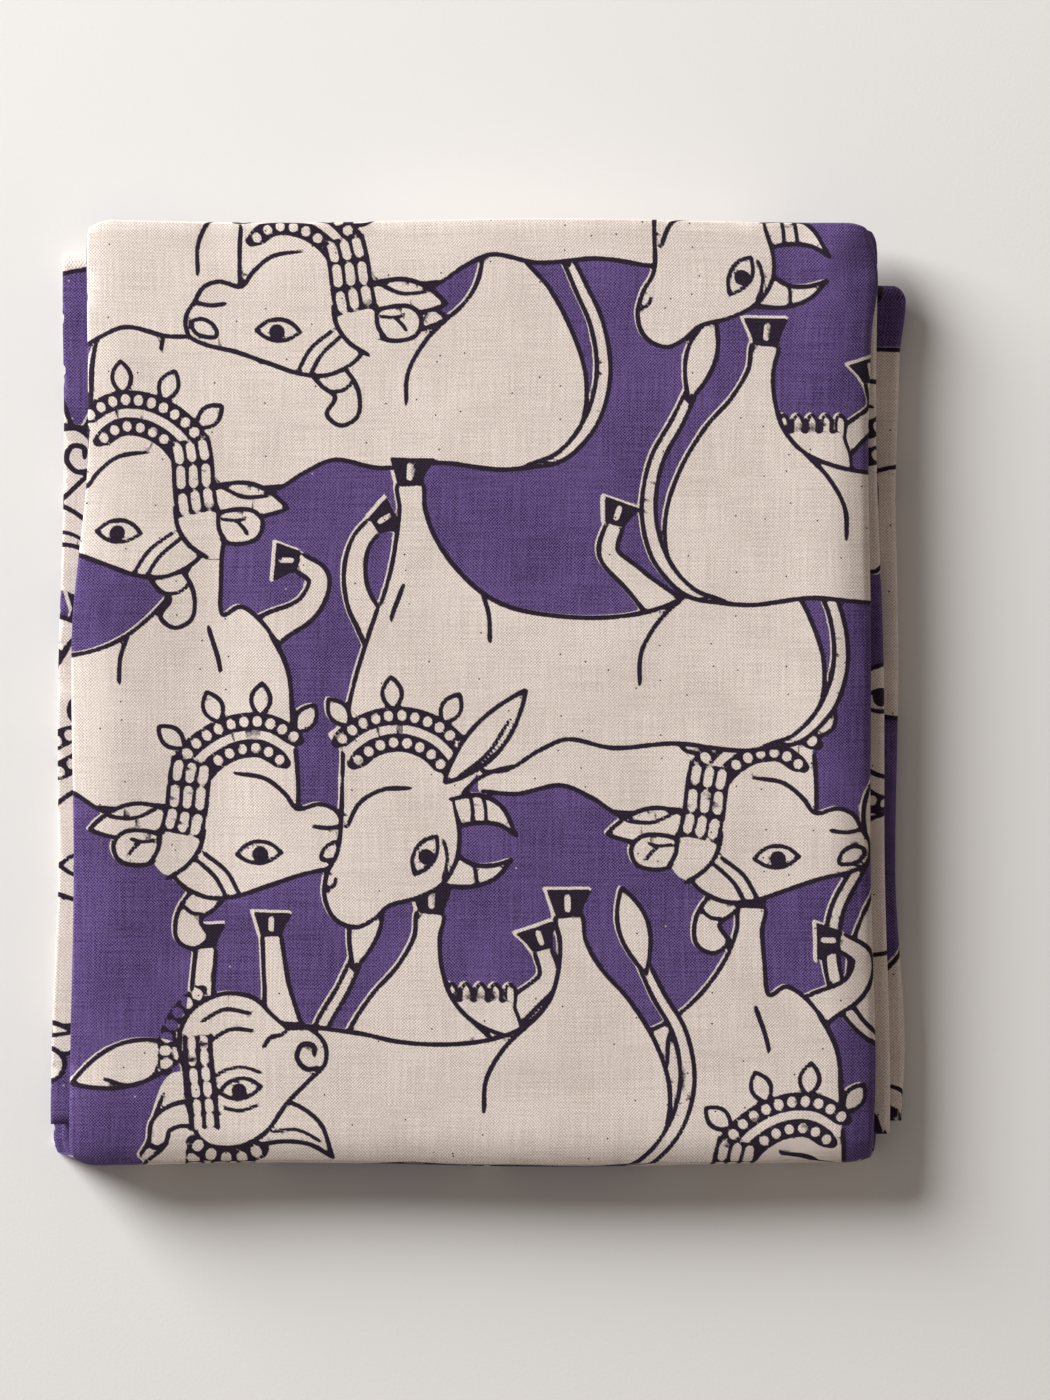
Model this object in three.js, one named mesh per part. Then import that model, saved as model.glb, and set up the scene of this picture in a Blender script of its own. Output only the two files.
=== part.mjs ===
// A length of block-printed cotton cloth, folded into a flat packet.
// The cloth is halved and halved again along its length into a strip four layers thick.
// Both ends of that strip are turned in to the middle, and the strip is doubled over there,
// so that the packet has a round spine at one end and two lips at the other.
// Millimetres, +Z up, the lips towards +Y, the origin under the middle of the packet.
import * as THREE from 'three';
import { mergeVertices } from 'three/addons/utils/BufferGeometryUtils.js';

// The cloth and the air between its layers
const CLOTH_THICKNESS = 1.15; // stays about 1 mm where the top rounds down
const LAYER_GAP = 0.35; // between two layers of the strip
const RUN_GAP = 0.55; // between one run of the strip and the next
const LAYER_PITCH = CLOTH_THICKNESS + LAYER_GAP;
const STRIP_THICKNESS = 3 * LAYER_PITCH + CLOTH_THICKNESS;
const RUN_PITCH = STRIP_THICKNESS + RUN_GAP;
const PACKET_HEIGHT = 4 * STRIP_THICKNESS + 3 * RUN_GAP;

// The packet from above
const PACKET_LENGTH = 332; // from the spine to the upper lip
const HALF_LENGTH = PACKET_LENGTH / 2;
const HALF_WIDTH = 147;
const UPPER_END_GAP = 9.7; // from the spine to the cut end inside the upper half
const LOWER_END_GAP = 14.6; // from the spine to the cut end inside the lower half

// The cross folds, at the middle of the strip's thickness
const LIP_RADIUS = RUN_PITCH / 2;
const SPINE_RADIUS = RUN_PITCH / 2; // of its crest and of its foot, with a flat wall between them
const HALF = Math.PI; // a half turn
const QUARTER = HALF / 2;
const UPPER_LIP_Y = HALF_LENGTH - LIP_RADIUS - STRIP_THICKNESS / 2;
const LOWER_LIP_Y = 144.6;
const SPINE_Y = SPINE_RADIUS + STRIP_THICKNESS / 2 - HALF_LENGTH;
const SPINE_FOOT_Z = STRIP_THICKNESS / 2 + SPINE_RADIUS;
const UPPER_END_Y = UPPER_END_GAP - HALF_LENGTH;
const LOWER_END_Y = LOWER_END_GAP - HALF_LENGTH;
const UPPER_INNER_RUN_LEVEL = 2; // runs below it

// The strip from its upper cut end to its lower one, a row for each bend and for each stretch of
// a run: where it ends in Y or Z, or its radius and turn, its steps, and at its far end where the two
// long folds lie and how far the fold line slants in Y for each millimetre of X.
const STRIP_START = { name: 'upper cut end', left: -137, right: 147, slant: 0.005 };
const STRIP = [
  { name: 'upper inner run', endY: UPPER_LIP_Y, steps: 5, left: -135.5, right: 142.5, slant: 0 },
  { name: 'upper lip', radius: LIP_RADIUS, turn: HALF, steps: 6, left: -134.5, right: 140.2, slant: 0 },
  { name: 'top run, corner bulge', endY: 145, steps: 2, left: -134.4, right: 142.4, slant: 0 },
  { name: 'top run, corner dip', endY: 125, steps: 2, left: -134.6, right: 140.3, slant: 0 },
  { name: 'top run, upper part', endY: 89, steps: 1, left: -134.9, right: 139.8, slant: 0 },
  { name: 'top run, left step', endY: 15, steps: 3, left: -139.7, right: 139.7, slant: 0 },
  { name: 'top run, lower part', endY: -129, steps: 3, left: -140.2, right: 141.4, slant: 0 },
  { name: 'top run, end', endY: SPINE_Y, steps: 5, left: -140.8, right: 140.8, slant: 0 },
  { name: 'spine crest', radius: SPINE_RADIUS, turn: QUARTER, steps: 4, left: -143, right: 141.5, slant: 0 },
  { name: 'spine wall', endZ: SPINE_FOOT_Z, steps: 1, left: -146.5, right: 142.4, slant: 0 },
  { name: 'spine foot', radius: SPINE_RADIUS, turn: QUARTER, steps: 4, left: -148.5, right: 143, slant: 0 },
  { name: 'bottom run, start', endY: -114, steps: 1, left: -147.6, right: 144, slant: -0.004 },
  { name: 'bottom run', endY: LOWER_LIP_Y, steps: 4, left: -143.6, right: 149, slant: -0.037 },
  { name: 'lower lip', radius: LIP_RADIUS, turn: HALF, steps: 6, left: -144.2, right: 153.2, slant: -0.037 },
  { name: 'lower inner run, corner', endY: 123, steps: 2, left: -144.5, right: 151.4, slant: -0.034 },
  { name: 'lower inner run, upper part', endY: 63, steps: 1, left: -144.8, right: 150.2, slant: -0.024 },
  { name: 'lower inner run, middle', endY: -57, steps: 2, left: -146.6, right: 150.3, slant: -0.01 },
  { name: 'lower inner run, lower part', endY: -123, steps: 2, left: -148, right: 152.6, slant: -0.003 },
  { name: 'lower inner run, end', endY: LOWER_END_Y, steps: 1, left: -148.4, right: 151.5, slant: 0 },
];

// The four layers across the strip, in the order of the cloth's width. Level 0 is the layer
// inside the cross folds and level 3 the one outside. A fold leads from each layer to the next.
const INNER_FOLD_INSET = 3.2; // the fold of levels 1 and 2 lies inside that of levels 3 and 0
const SELVEDGE_INSET = 3.4; // the two selvedges stop short of the left fold
const INNER_SELVEDGE_INSET = 5;
const LAYERS = [
  { level: 1, foldSteps: 4, startInset: INNER_SELVEDGE_INSET, endInset: INNER_FOLD_INSET },
  { level: 2, foldSteps: 4, startInset: INNER_FOLD_INSET, endInset: 0 },
  { level: 3, foldSteps: 7, startInset: 0, endInset: 0 },
  { level: 0, foldSteps: 0, startInset: 0, endInset: SELVEDGE_INSET },
];
// The steps of each layer as shares of its width, closer where the packet rolls off to its sides
const LAYER_SHARES = [0, 0.018, 0.036, 0.054, 0.3, 0.7, 0.946, 0.964, 0.982, 1];

// The unevenness of a packet folded by hand: heights, wavelengths and phases
const CROWN = { height: 1.0, sharpness: 6 }; // the middle stands higher than the two ends
const SWELL = { height: 0.55, waveX: 215, waveY: 265, phase: 0.9, phaseY: -0.4 };
const ROLL_OFF = { left: 1.7, right: 2.4, spine: 1.2, reach: 15 }; // the top rounds down to its folds
const TOP_EDGES = { leftUpper: -134.6, leftLower: -140.3, right: 140.6, stepFrom: 89, stepTo: 15 };
const SIDE_WANDER = { height: 0.4, wave: 150, phase: 1.1 }; // the long folds stray from straight
const END_WANDER = { height: 0.75, wave: 190, phase: 0.6 }; // so do the spine and the lips
const CORNER_PULL = { depth: 0.8, sharpnessX: 10, sharpnessY: 12 }; // the corners draw in

const CLOTH_COLOUR = 0xb0a1aa;
const CLOTH_ROUGHNESS = 0.92;

const ease = (t) => t * t * (3 - 2 * t);
const mix = (a, b, t) => a + (b - a) * t;
const clamp = (t) => Math.min(1, Math.max(0, t));
const wave = (turns, phase) => Math.sin(2 * Math.PI * turns + phase);

// Walks along the strip and returns its stations: a place in Y and Z, the way that
// faces out of the cross folds, and where the long folds lie.
function walkStrip() {
  let y = UPPER_END_Y;
  let z = UPPER_INNER_RUN_LEVEL * RUN_PITCH + STRIP_THICKNESS / 2;
  let heading = 0;
  let from = STRIP_START;
  const station = (atY, atZ, angle, row, t) => ({
    y: atY,
    z: atZ,
    outY: Math.sin(angle),
    outZ: -Math.cos(angle),
    left: mix(from.left, row.left, ease(t)),
    right: mix(from.right, row.right, ease(t)),
    slant: mix(from.slant, row.slant, ease(t)),
  });
  const stations = [station(y, z, heading, STRIP_START, 0)];
  for (const row of STRIP) {
    const centreY = y - (row.radius ?? 0) * Math.sin(heading);
    const centreZ = z + (row.radius ?? 0) * Math.cos(heading);
    for (let k = 1; k <= row.steps; k++) {
      const t = k / row.steps;
      if (row.radius) {
        const angle = heading + row.turn * t;
        const atY = centreY + row.radius * Math.sin(angle);
        const atZ = centreZ - row.radius * Math.cos(angle);
        stations.push(station(atY, atZ, angle, row, t));
      } else {
        const atY = mix(y, row.endY ?? y, t);
        const atZ = mix(z, row.endZ ?? z, t);
        stations.push(station(atY, atZ, heading, row, t));
      }
    }
    ({ y, z } = stations.at(-1));
    heading += row.turn ?? 0;
    from = row;
  }
  return stations;
}

// Walks across the strip and returns the middle of the cloth as points { x, n } with the way
// its printed face looks { faceX, faceN }. N is measured out of the cross folds.
function walkWidth({ left, right }) {
  const levelN = (level) => (level - 1.5) * LAYER_PITCH;
  const foldRadius = (k) => Math.abs(LAYERS[k + 1].level - LAYERS[k].level) * LAYER_PITCH / 2;
  const points = [];
  LAYERS.forEach((layer, k) => {
    const way = k % 2 ? -1 : 1;
    const before = k ? foldRadius(k - 1) + CLOTH_THICKNESS / 2 : 0;
    const after = layer.foldSteps ? foldRadius(k) + CLOTH_THICKNESS / 2 : 0;
    const startEdge = way > 0 ? left : right;
    const endEdge = way > 0 ? right : left;
    const start = startEdge + way * (layer.startInset + before);
    const end = endEdge - way * (layer.endInset + after);
    for (const share of LAYER_SHARES.slice(k ? 1 : 0)) {
      points.push({ x: mix(start, end, share), n: levelN(layer.level), faceX: 0, faceN: way });
    }
    if (!layer.foldSteps) return;
    const nextN = levelN(LAYERS[k + 1].level);
    const climb = Math.sign(nextN - levelN(layer.level));
    const middleN = (levelN(layer.level) + nextN) / 2;
    for (let i = 1; i <= layer.foldSteps; i++) {
      const angle = Math.PI * (i / layer.foldSteps);
      const reach = way * Math.sin(angle);
      const rise = -climb * Math.cos(angle);
      const outward = -way * climb; // the printed face is outside the fold, or inside it
      points.push({
        x: end + foldRadius(k) * reach,
        n: middleN + foldRadius(k) * rise,
        faceX: outward * reach,
        faceN: outward * rise,
      });
    }
  });
  return points;
}

// How far the top lies lower near the long folds of the top run and near the spine
function rollOff(x, y) {
  const stepShare = clamp((TOP_EDGES.stepFrom - y) / (TOP_EDGES.stepFrom - TOP_EDGES.stepTo));
  const left = mix(TOP_EDGES.leftUpper, TOP_EDGES.leftLower, ease(stepShare));
  const drop = (depth, inside) => depth * clamp(1 - inside / ROLL_OFF.reach) ** 2;
  return drop(ROLL_OFF.left, x - left) + drop(ROLL_OFF.right, TOP_EDGES.right - x)
    + drop(ROLL_OFF.spine, y + HALF_LENGTH);
}

// Crown, swells, rounded sides, wandering edges and drawn-in corners. The underside stays flat.
function settle(point) {
  const { x, y, z } = point;
  const alongX = x / HALF_WIDTH;
  const alongY = y / HALF_LENGTH;
  const crown = CROWN.height * (1 - alongY ** CROWN.sharpness);
  const swell = SWELL.height * wave(x / SWELL.waveX + y / SWELL.waveY, SWELL.phase)
    * wave(y / SWELL.waveY, SWELL.phaseY + Math.PI / 2);
  const pull = Math.min(1, alongX ** CORNER_PULL.sharpnessX) * alongY ** CORNER_PULL.sharpnessY;
  point.x = x + SIDE_WANDER.height * alongX * wave(y / SIDE_WANDER.wave, SIDE_WANDER.phase);
  point.y = y + END_WANDER.height * alongY * wave(x / END_WANDER.wave, END_WANDER.phase)
    - CORNER_PULL.depth * Math.sign(y) * pull;
  point.z = z * (1 + (crown + swell - rollOff(x, y)) / PACKET_HEIGHT);
  return point;
}

// The flat cloth as a thin box with a segment for each step, then every corner of it folded.
function foldedCloth() {
  const stations = walkStrip();
  const sections = stations.map(walkWidth);
  const acrossSteps = sections[0].length - 1;
  const alongSteps = stations.length - 1;
  const cloth = new THREE.BoxGeometry(acrossSteps, 1, alongSteps, acrossSteps, 1, alongSteps);
  cloth.deleteAttribute('normal');
  cloth.deleteAttribute('uv');
  const corner = new THREE.Vector3();
  const corners = cloth.getAttribute('position');
  for (let i = 0; i < corners.count; i++) {
    corner.fromBufferAttribute(corners, i);
    const along = Math.round(corner.z + alongSteps / 2);
    const at = stations[along];
    const across = sections[along][Math.round(corner.x + acrossSteps / 2)];
    const depth = Math.sign(corner.y) * CLOTH_THICKNESS / 2;
    const n = across.n + depth * across.faceN;
    const x = across.x + depth * across.faceX;
    corner.set(x, at.y + n * at.outY + at.slant * x, at.z + n * at.outZ);
    settle(corner);
    corners.setXYZ(i, corner.x, corner.y, corner.z);
  }
  cloth.computeBoundingBox();
  const middle = cloth.boundingBox.getCenter(new THREE.Vector3());
  cloth.translate(-middle.x, -middle.y, -cloth.boundingBox.min.z);
  const closed = mergeVertices(cloth, 1e-4);
  closed.computeVertexNormals();
  return closed;
}

const panel = new THREE.Mesh(
  foldedCloth(),
  new THREE.MeshStandardMaterial({ color: CLOTH_COLOUR, roughness: CLOTH_ROUGHNESS, metalness: 0 }),
);
panel.name = 'kalamkari_panel';

const part = new THREE.Group();
part.add(panel);
export default part;
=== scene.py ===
# %% [markdown]
# # A folded panel of block-printed cotton
#
# The real thing is one long piece of cotton. It is halved and halved again along its length,
# which makes a strip four layers thick. Both ends of the strip are turned in to the middle, and the
# strip is doubled over there. This lesson makes it in the same order: lay the cloth flat, print it,
# fold it across, fold it along, let it settle, and then give it its cotton finish.
#
# The imported part comes first. It holds the plain solid that the finished cloth stands for.

# %% Load the imported part
import math

import bpy
import numpy as np
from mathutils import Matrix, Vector
from mathutils.geometry import delaunay_2d_cdt


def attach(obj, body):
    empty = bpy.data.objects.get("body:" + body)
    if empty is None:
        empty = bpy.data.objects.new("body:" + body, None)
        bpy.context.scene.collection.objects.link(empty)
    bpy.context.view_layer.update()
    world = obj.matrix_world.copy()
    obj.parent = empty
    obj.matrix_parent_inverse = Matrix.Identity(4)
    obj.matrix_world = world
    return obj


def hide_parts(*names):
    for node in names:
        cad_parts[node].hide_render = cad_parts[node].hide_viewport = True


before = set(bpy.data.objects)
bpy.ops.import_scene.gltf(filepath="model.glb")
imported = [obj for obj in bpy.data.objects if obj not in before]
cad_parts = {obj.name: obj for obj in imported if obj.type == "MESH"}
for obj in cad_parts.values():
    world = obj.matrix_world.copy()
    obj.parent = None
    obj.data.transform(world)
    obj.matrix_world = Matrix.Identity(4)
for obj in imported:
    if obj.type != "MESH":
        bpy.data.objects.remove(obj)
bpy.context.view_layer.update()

MM = 0.001

# %% [markdown]
# ## The camera
#
# The packet lies flat and is seen from straight above. A long lens from high up keeps the sides of
# the packet almost hidden. The lens follows from the height of the camera and from how many
# millimetres of cloth one pixel of the picture covers.

# %% Camera
PICTURE = (1050, 1400)
MM_PER_PIXEL = 0.3498
PACKET_TOP = 24.6
CAMERA_HEIGHT = 1500.0
CAMERA_AT = (16.4, -2.3)
SENSOR = 36.0

lens = bpy.data.cameras.new("overhead")
lens.sensor_width = SENSOR
lens.lens = SENSOR * (CAMERA_HEIGHT - PACKET_TOP) / (PICTURE[1] * MM_PER_PIXEL)
camera = bpy.data.objects.new("overhead", lens)
camera.location = (CAMERA_AT[0] * MM, CAMERA_AT[1] * MM, CAMERA_HEIGHT * MM)
bpy.context.collection.objects.link(camera)
bpy.context.scene.camera = camera
print("lens in mm:", round(lens.lens, 1))

# %% [markdown]
# ## Light and floor
#
# One broad soft lamp stands low, up and to the left, so that the shadow falls softly down and to the
# right. A faint warm world light fills the shadow. The floor is a plain pale sheet.

# %% Lights
bpy.context.scene.view_settings.view_transform = "Standard"


def soft_lamp(name, at, size, power, colour):
    data = bpy.data.lights.new(name, "AREA")
    data.shape = "DISK"
    data.size = size
    data.energy = power
    data.color = colour
    lamp = bpy.data.objects.new(name, data)
    lamp.location = at
    lamp.rotation_mode = "QUATERNION"
    lamp.rotation_quaternion = (-Vector(at)).to_track_quat("-Z", "Y")
    bpy.context.collection.objects.link(lamp)


soft_lamp("window", at=(-2.45, 2.02, 1.45), size=2.1, power=233.0, colour=(1.0, 1.0, 0.99))
world = bpy.data.worlds.new("pale room")
world.use_nodes = True
room_light = world.node_tree.nodes["Background"].inputs
room_light["Color"].default_value = (1.0, 0.87, 0.77, 1.0)
room_light["Strength"].default_value = 0.225
bpy.context.scene.world = world

# %% [markdown]
# Node trees are wired by hand in the editor. In a script it helps to have one helper that adds a
# node, sets its options, and fills its sockets with numbers or with other nodes' outputs. A socket is
# given by its name, with _ for a space, or by its number after an _.

# %% A helper for node trees
def add(tree, kind, options=None, **sockets):
    made = tree.nodes.new(kind)
    for name, value in (options or {}).items():
        setattr(made, name, value)
    for name, value in sockets.items():
        key = int(name[1:]) if name[1:].isdigit() else name.replace("_", " ")
        socket = made.inputs[key]
        if isinstance(value, bpy.types.NodeSocket):
            tree.links.new(value, socket)
        else:
            socket.default_value = value
    return made


def calc(tree, operation, *values):
    sockets = {f"_{k}": value for k, value in enumerate(values)}
    return add(tree, "ShaderNodeMath", {"operation": operation}, **sockets).outputs[0]


print("node helpers:", add.__name__, "and", calc.__name__)

# %% Floor
def pale_floor_finish():
    finish = bpy.data.materials.new("pale_floor")
    finish.use_nodes = True
    tree = finish.node_tree
    shader = tree.nodes["Principled BSDF"]
    place = add(tree, "ShaderNodeTexCoord").outputs["Object"]
    grain = add(tree, "ShaderNodeTexNoise", Vector=place, Scale=900.0, Detail=3.0).outputs["Fac"]
    bump = add(tree, "ShaderNodeBump", Height=grain, Strength=0.12, Distance=0.0003)
    tree.links.new(bump.outputs["Normal"], shader.inputs["Normal"])
    shader.inputs["Base Color"].default_value = (0.80, 0.795, 0.785, 1.0)
    shader.inputs["Roughness"].default_value = 0.95
    shader.inputs["Specular IOR Level"].default_value = 0.1
    return finish


FLOOR_HALF = 3.0
floor_mesh = bpy.data.meshes.new("floor")
floor_mesh.from_pydata([(-FLOOR_HALF, -FLOOR_HALF, 0), (FLOOR_HALF, -FLOOR_HALF, 0),
                        (FLOOR_HALF, FLOOR_HALF, 0), (-FLOOR_HALF, FLOOR_HALF, 0)], [], [(0, 1, 2, 3)])
floor_mesh.materials.append(pale_floor_finish())
floor = bpy.data.objects.new("floor", floor_mesh)
bpy.context.collection.objects.link(floor)
print("floor of", 2 * FLOOR_HALF, "m")

# %% [markdown]
# ## The folds across the cloth
#
# Seen from its end, the strip is one line that runs back and forth four times. The layers are listed
# in the order of the cloth's width. Level 0 is the layer that ends up inside the cross folds and
# level 3 the one outside, which carries the print that shows. A small half circle leads from each
# layer to the next. The line is made as a polyline whose points hold three values: how far they
# lie from the left long fold to the right one (0 to 1), an inset in millimetres, and a height. Those
# three stay the same when the strip gets wider or narrower along its length. The folds leave room for
# cloth a millimetre thick, and the cloth that is laid on them later is a little thinner.

# %% The line across the strip
CLOTH_THICKNESS = 1.0
LAYER_PITCH = 1.5
RUN_PITCH = 6.2
STRIP_THICKNESS = 5.5
USUAL_LEFT, USUAL_RIGHT = -140.0, 141.0
FOLD_POINTS = 24
LAYERS = [
    dict(name="inner layer", level=1, start_inset=5.0, end_inset=3.2, fold="inner fold", show=0.04),
    dict(name="second layer", level=2, start_inset=3.2, end_inset=0.0, fold="left fold", show=0.05),
    dict(name="printed layer", level=3, start_inset=0.0, end_inset=0.0, fold="right fold", show=1.0),
    dict(name="under layer", level=0, start_inset=0.0, end_inset=3.4, fold=None, show=0.12),
]
STRAIGHT_SHARES = (0.0, 0.01, 0.99, 1.0)


def layer_height(row):
    return (row["level"] - 1.5) * LAYER_PITCH


def fold_radius(k):
    return abs(LAYERS[k + 1]["level"] - LAYERS[k]["level"]) * LAYER_PITCH / 2


def across_line():
    points, spans = [], []
    for k, row in enumerate(LAYERS):
        way = -1 if k % 2 else 1
        before = fold_radius(k - 1) + CLOTH_THICKNESS / 2 if k else 0.0
        after = fold_radius(k) + CLOTH_THICKNESS / 2 if row["fold"] else 0.0
        start = np.array([0.0 if way > 0 else 1.0, way * (row["start_inset"] + before)])
        end = np.array([1.0 if way > 0 else 0.0, -way * (row["end_inset"] + after)])
        first = max(len(points) - 1, 0)
        for t in STRAIGHT_SHARES[1 if k else 0:]:
            points.append((*(start + (end - start) * t), layer_height(row)))
        spans.append((row["name"], first, len(points) - 1))
        if not row["fold"]:
            continue
        radius, next_height = fold_radius(k), layer_height(LAYERS[k + 1])
        climb = math.copysign(1, next_height - layer_height(row))
        middle = (layer_height(row) + next_height) / 2
        for i in range(1, FOLD_POINTS + 1):
            angle = math.pi * i / FOLD_POINTS
            points.append((end[0], end[1] + radius * way * math.sin(angle),
                           middle - radius * climb * math.cos(angle)))
        spans.append((row["fold"], spans[-1][2], len(points) - 1))
    return np.array(points), spans


def lengths_along(points):
    steps = np.linalg.norm(np.diff(points, axis=0), axis=1)
    return np.concatenate([[0.0], np.cumsum(steps)])


across, across_spans = across_line()
across_x = USUAL_LEFT + (USUAL_RIGHT - USUAL_LEFT) * across[:, 0] + across[:, 1]
across_xn = np.stack([across_x, across[:, 2]], 1)
across_at = lengths_along(across_xn)
U_SPAN = {name: (across_at[a], across_at[b]) for name, a, b in across_spans}
CLOTH_WIDTH = across_at[-1]
print("cloth width in mm:", round(CLOTH_WIDTH, 1), "in", len(U_SPAN), "layers and folds")

# %% [markdown]
# ## The folds along the strip
#
# Seen from the side, the strip starts inside the upper half, turns over the upper lip, runs along the
# top, turns round the spine, runs back along the bottom, turns in at the lower lip and ends inside
# the lower half. Each row of the table gives where a stretch ends or a bend's radius, where the long
# folds lie at its far end, and how far the strip slants there. They wander, which leaves the narrow
# stepped edges that show at both sides. The value show says how much of the row is seen, for the share
# that it gets of a picture of the cloth. The upper lip and the spine start out round. They are pressed
# nearly flat at the end, so they are placed here by what will be left of them.

# %% The line along the strip
HALF_LENGTH = 166.0
LIP_RADIUS, SPINE_RADIUS = RUN_PITCH / 2, 1.5 * RUN_PITCH
PRESSED = dict(lip=0.18, spine=0.15)
UPPER_LIP_Y = HALF_LENGTH - PRESSED["lip"] * (LIP_RADIUS + STRIP_THICKNESS / 2)
LOWER_LIP_Y = 144.6
SPINE_Y = PRESSED["spine"] * (SPINE_RADIUS + STRIP_THICKNESS / 2) - HALF_LENGTH
UPPER_END_Y, LOWER_END_Y = 9.7 - HALF_LENGTH, 14.6 - HALF_LENGTH
STRIP_START = dict(left=-137.0, right=147.0, slant=0.005)
STRIP = [
    dict(name="upper inner run", end_y=UPPER_LIP_Y, left=-135.5, right=142.5, slant=0.0, show=0.2),
    dict(name="upper lip", radius=LIP_RADIUS, left=-134.5, right=140.2, slant=0.0, show=1.0),
    dict(name="top run, corner bulge", end_y=145.0, left=-134.4, right=142.4, slant=0.0, show=1.0),
    dict(name="top run, corner dip", end_y=125.0, left=-134.6, right=140.3, slant=0.0, show=1.0),
    dict(name="top run, upper part", end_y=89.0, left=-134.9, right=139.8, slant=0.0, show=1.0),
    dict(name="top run, left step", end_y=15.0, left=-139.7, right=139.7, slant=0.0, show=1.0),
    dict(name="top run, lower part", end_y=-129.0, left=-140.2, right=141.4, slant=0.0, show=1.0),
    dict(name="top run, end", end_y=SPINE_Y, left=-140.8, right=140.8, slant=0.0, show=1.0),
    dict(name="spine", radius=SPINE_RADIUS, left=-148.5, right=143.0, slant=0.0, show=1.0),
    dict(name="bottom run, start", end_y=-114.0, left=-147.6, right=144.0, slant=-0.004, show=0.35),
    dict(name="bottom run", end_y=LOWER_LIP_Y, left=-143.6, right=149.0, slant=-0.037, show=0.35),
    dict(name="lower lip", radius=LIP_RADIUS, left=-144.2, right=153.2, slant=-0.037, show=0.7),
    dict(name="lower inner run, corner", end_y=123.0, left=-144.5, right=151.4, slant=-0.034, show=0.25),
    dict(name="lower inner run, high", end_y=63.0, left=-144.8, right=150.2, slant=-0.024, show=0.25),
    dict(name="lower inner run, middle", end_y=-57.0, left=-146.6, right=150.3, slant=-0.01, show=0.25),
    dict(name="lower inner run, low", end_y=-123.0, left=-148.0, right=152.6, slant=-0.003, show=0.25),
    dict(name="lower inner run, end", end_y=LOWER_END_Y, left=-148.4, right=151.5, slant=0.0, show=0.25),
]
ROW_POINTS = 40
WANDERS = ("left", "right", "slant")


def ease(t):
    return t * t * (3 - 2 * t)


def along_line():
    y, z, heading = UPPER_END_Y, 2 * RUN_PITCH + STRIP_THICKNESS / 2, 0.0
    before = STRIP_START
    points, spans = [(y, z, before["left"], before["right"], before["slant"])], []
    for row in STRIP:
        radius = row.get("radius", 0.0)
        centre_y, centre_z = y - radius * math.sin(heading), z + radius * math.cos(heading)
        first = len(points) - 1
        for i in range(1, ROW_POINTS + 1):
            t = i / ROW_POINTS
            if radius:
                angle = heading + math.pi * t
                here = (centre_y + radius * math.sin(angle), centre_z - radius * math.cos(angle))
            else:
                here = (y + (row["end_y"] - y) * t, z)
            edges = [before[key] + (row[key] - before[key]) * ease(t) for key in WANDERS]
            points.append((*here, *edges))
        y, z = points[-1][:2]
        heading += math.pi if radius else 0.0
        before = row
        spans.append((row["name"], first, len(points) - 1))
    return np.array(points), spans


along, along_spans = along_line()
along_at = lengths_along(along[:, :2])
V_SPAN = {name: (along_at[a], along_at[b]) for name, a, b in along_spans}
CLOTH_LENGTH = along_at[-1]
print("cloth length in mm:", round(CLOTH_LENGTH, 1), "in", len(V_SPAN), "stretches")

# %% [markdown]
# ## A press for the block print
#
# The cloth is printed in two steps: cow outlines in a near-black dye from carved blocks, then a
# violet ground round them. The bodies stay in the cloth's own cream. Where the violet misses the
# lines a little, a pale rim stays beside them.
#
# A picture would be the quick way, but a drawn print stays sharp at any size and needs no file. Each
# shape is stored as a distance in millimetres at sample points of the cloth: below zero inside,
# above zero outside. Two such fields are kept, ink for the lines and ground for the violet's edge.
# The finish later colours the cloth by their sign. First come smooth curves through a few points.

# %% Smooth curves
def curve(points, closed=False, step=0.9):
    p = np.asarray(points, float)
    if len(p) < 3 and not closed:
        n = max(2, int(np.linalg.norm(p[-1] - p[0]) / step) + 1)
        return p[0] + (p[-1] - p[0]) * np.linspace(0, 1, n)[:, None]
    if closed:
        q = np.vstack([p[-1], p, p[0], p[1]])
    else:
        q = np.vstack([2 * p[0] - p[1], p, 2 * p[-1] - p[-2]])
    parts = []
    for a, b, c, d in zip(q[:-3], q[1:-2], q[2:-1], q[3:]):
        t1 = max(np.linalg.norm(b - a), 1e-6) ** 0.5
        t2 = t1 + max(np.linalg.norm(c - b), 1e-6) ** 0.5
        t3 = t2 + max(np.linalg.norm(d - c), 1e-6) ** 0.5
        n = max(2, int(np.linalg.norm(c - b) / step) + 1)
        t = np.linspace(t1, t2, n, endpoint=False)[:, None]
        a1 = (t1 - t) / t1 * a + t / t1 * b
        a2 = (t2 - t) / (t2 - t1) * b + (t - t1) / (t2 - t1) * c
        a3 = (t3 - t) / (t3 - t2) * c + (t - t2) / (t3 - t2) * d
        b1 = (t2 - t) / t2 * a1 + t / t2 * a2
        b2 = (t3 - t) / (t3 - t1) * a2 + (t - t1) / (t3 - t1) * a3
        parts.append((t2 - t) / (t2 - t1) * b1 + (t - t1) / (t2 - t1) * b2)
    smooth = np.vstack(parts)
    return smooth if closed else np.vstack([smooth, p[-1]])


def side_way(line):
    d = np.gradient(line, axis=0)
    d /= np.linalg.norm(d, axis=1)[:, None] + 1e-9
    return np.stack([-d[:, 1], d[:, 0]], 1)


print("a bend through 3 points gets", len(curve([(0, 0), (10, 4), (20, 0)])), "points")

# %% [markdown]
# The press holds the sample points. A fill clears the ink under a body and opens a hole in the violet,
# a line adds ink along a curve, a solid adds an inked patch, and a pale patch takes ink away again.

# %% The press
REACH = 3.0
PIECES_AT_ONCE = 12
LINE = 1.7
LINE_TAPER = 6
VIOLET_SLIP = np.array([-0.85, 0.45])
VIOLET_SHY = 0.5


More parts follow.
